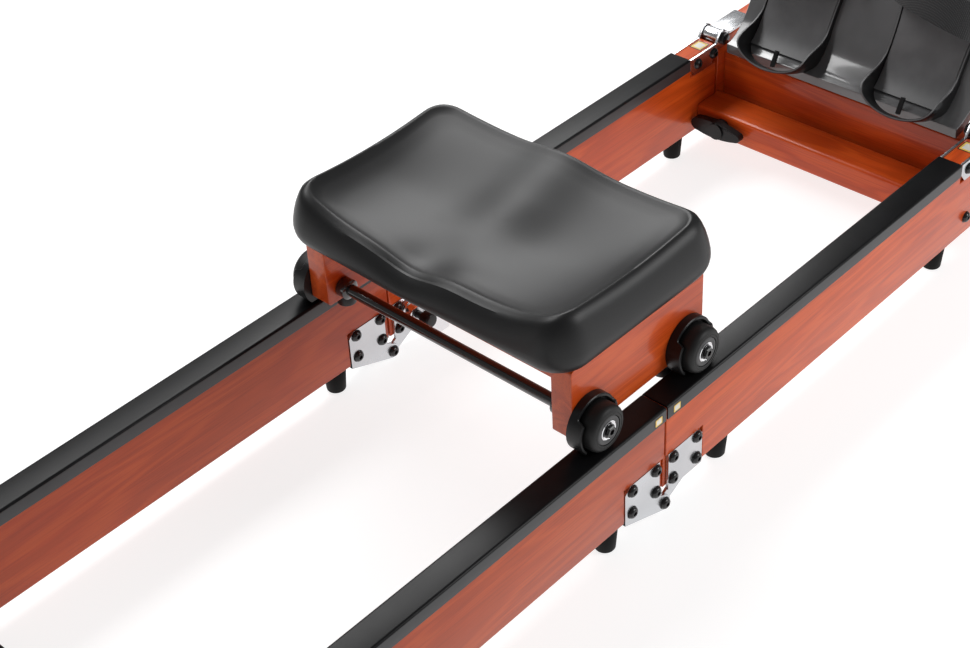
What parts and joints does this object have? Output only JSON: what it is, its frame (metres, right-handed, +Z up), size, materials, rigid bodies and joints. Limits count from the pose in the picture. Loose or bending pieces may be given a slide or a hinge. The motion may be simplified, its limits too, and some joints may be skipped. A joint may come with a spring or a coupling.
{
  "type": "rowing machine",
  "caption": "Folding wooden water rowing machine: hinged rails with rubber strips, rolling contoured seat, inclined footboard with heel cups, round water tank and strap handle.",
  "frame": {"origin": "on the floor, under the middle of the machine's overall box", "axes": "+X from the rear end towards the tank, +Y to the rower's left when facing the tank, +Z up"},
  "size_m": [2.007, 0.486, 0.585],
  "materials": {
    "wood": "red-brown stain under gloss lacquer",
    "strip_rubber": "satin running surface",
    "foot_rubber": "matt",
    "wheel_rubber": "satin",
    "bright_steel": "bright nickel plate",
    "black_steel": "gloss black",
    "black_plastic": "moulded, satin",
    "cradle_plastic": "moulded, satin",
    "board_gloss": "gloss",
    "seat_foam": "satin moulded skin over foam",
    "webbing": "woven webbing",
    "grip": "soft grip",
    "clear_shell": "clear moulded shell",
    "paddle": "moulded"
  },
  "bodies": {
    "front_frame": {"beam_left": "wood", "beam_right": "wood", "heel_board": "wood", "nose_board": "wood", "heel_foot_bar": "foot_rubber", "nose_foot_bar": "black_steel", "footboard": "board_gloss", "top_deck": "wood", "tank_lower_shell": "clear_shell", "tank_upper_shell": "clear_shell", "drive_strap": "webbing", "front_hinge_leaf_left": "bright_steel", "front_hinge_leaf_right": "bright_steel"},
    "front_rail": {"front_rail_left": "wood", "front_rail_right": "wood", "front_strip_left": "strip_rubber", "front_strip_right": "strip_rubber", "mid_hinge_front_bracket_left": "bright_steel", "mid_hinge_front_bracket_right": "bright_steel", "foot_mid_left": "foot_rubber", "foot_mid_right": "foot_rubber", "foot_front_left": "foot_rubber", "foot_front_right": "foot_rubber", "front_rail_crossbeam": "wood", "front_hinge_yoke_left": "bright_steel", "front_hinge_yoke_right": "bright_steel"},
    "rear_rail": {"rear_rail_left": "wood", "rear_rail_right": "wood", "rear_strip_left": "strip_rubber", "rear_strip_right": "strip_rubber", "mid_hinge_rear_bracket_left": "bright_steel", "mid_hinge_rear_bracket_right": "bright_steel", "foot_rear_left": "foot_rubber", "foot_rear_right": "foot_rubber", "rear_foot_bar": "foot_rubber"},
    "carriage": {"seat_pad": "seat_foam", "seat_base": "wood", "carriage_side_left": "wood", "carriage_side_right": "wood", "axle_rear": "black_steel", "axle_front": "black_steel", "fender_rear_left": "black_plastic", "fender_rear_right": "black_plastic", "fender_front_left": "black_plastic", "fender_front_right": "black_plastic"},
    "rear_left_wheel": {"wheel_rear_left": "wheel_rubber"},
    "rear_right_wheel": {"wheel_rear_right": "wheel_rubber"},
    "front_left_wheel": {"wheel_front_left": "wheel_rubber"},
    "front_right_wheel": {"wheel_front_right": "wheel_rubber"},
    "lock": {"hinge_lock_pin": "black_plastic"},
    "wing": {"wing_screw": "black_plastic"},
    "paddle": {"impeller": "paddle"},
    "drum": {"strap_drum": "black_plastic"},
    "pull_handle": {"handle": "grip"},
    "console": {"monitor": "black_plastic"},
    "left_footrest": {"foot_cradle_left": "cradle_plastic", "foot_strap_left": "webbing"},
    "right_footrest": {"foot_cradle_right": "cradle_plastic", "foot_strap_right": "webbing"},
    "transport": {"transport_wheels": "wheel_rubber"}
  },
  "joints": [
    {"name": "front_fold", "type": "hinge", "parent": "front_frame", "child": "front_rail", "pos_m": [0.0975, 0, 0.127], "axis": [0, 1, 0], "range_deg": [0, 90]},
    {"name": "mid_fold", "type": "hinge", "parent": "front_rail", "child": "rear_rail", "pos_m": [-0.4585, 0, 0.011], "axis": [0, -1, 0], "range_deg": [0, 135]},
    {"name": "seat_slide", "type": "slide", "parent": "rear_rail", "child": "carriage", "axis": [-1, 0, 0], "range_m": [-0.37, 0.43]},
    {"name": "rear_left_wheel_spin", "type": "hinge", "parent": "carriage", "child": "rear_left_wheel", "pos_m": [-0.5345, 0.177, 0.15], "axis": [0, -1, 0], "continuous": true},
    {"name": "rear_right_wheel_spin", "type": "hinge", "parent": "carriage", "child": "rear_right_wheel", "pos_m": [-0.5345, -0.177, 0.15], "axis": [0, -1, 0], "continuous": true},
    {"name": "front_left_wheel_spin", "type": "hinge", "parent": "carriage", "child": "front_left_wheel", "pos_m": [-0.3985, 0.177, 0.15], "axis": [0, -1, 0], "continuous": true},
    {"name": "front_right_wheel_spin", "type": "hinge", "parent": "carriage", "child": "front_right_wheel", "pos_m": [-0.3985, -0.177, 0.15], "axis": [0, -1, 0], "continuous": true},
    {"name": "lock_pull", "type": "slide", "parent": "front_rail", "child": "lock", "axis": [0, -1, 0], "range_m": [0, 0.008], "stiffness_N_per_m": 600, "springref_m": -0.004},
    {"name": "wing_turn", "type": "hinge", "parent": "front_rail", "child": "wing", "pos_m": [0.0515, 0.125, 0.044], "axis": [1, 0, 0], "continuous": true},
    {"name": "handle_pull", "type": "slide", "parent": "front_frame", "child": "pull_handle", "axis": [-1, 0, 0], "range_m": [0, 1.1], "stiffness_N_per_m": 20, "springref_m": -0.5, "deforming": ["drive_strap"]},
    {"name": "drum_spin", "type": "hinge", "parent": "front_frame", "child": "drum", "pos_m": [0.6765, 0, 0.375], "axis": [0, 0, 1], "continuous": true},
    {"name": "impeller_spin", "type": "hinge", "parent": "front_frame", "child": "paddle", "pos_m": [0.6765, 0, 0.2], "axis": [0, 0, 1], "continuous": true},
    {"name": "monitor_tilt", "type": "hinge", "parent": "front_frame", "child": "console", "pos_m": [0.2635, 0, 0.447], "axis": [0, 1, 0], "range_deg": [-15, 25]},
    {"name": "left_footrest_slide", "type": "slide", "parent": "front_frame", "child": "left_footrest", "axis": [0.4695, 0, 0.8829], "range_m": [0, 0.03]},
    {"name": "right_footrest_slide", "type": "slide", "parent": "front_frame", "child": "right_footrest", "axis": [0.4695, 0, 0.8829], "range_m": [0, 0.03]},
    {"name": "transport_spin", "type": "hinge", "parent": "front_frame", "child": "transport", "pos_m": [0.9775, 0, 0.031], "axis": [0, 1, 0], "continuous": true}
  ],
  "couplings": [
    {"joint": "mid_fold", "follows": "front_fold", "ratio": 1.5},
    {"joint": "rear_left_wheel_spin", "follows": "seat_slide", "rad_per_m": 44.053},
    {"joint": "rear_right_wheel_spin", "follows": "seat_slide", "rad_per_m": 44.053},
    {"joint": "front_left_wheel_spin", "follows": "seat_slide", "rad_per_m": 44.053},
    {"joint": "front_right_wheel_spin", "follows": "seat_slide", "rad_per_m": 44.053},
    {"joint": "drum_spin", "follows": "handle_pull", "rad_per_m": 19.305}
  ]
}
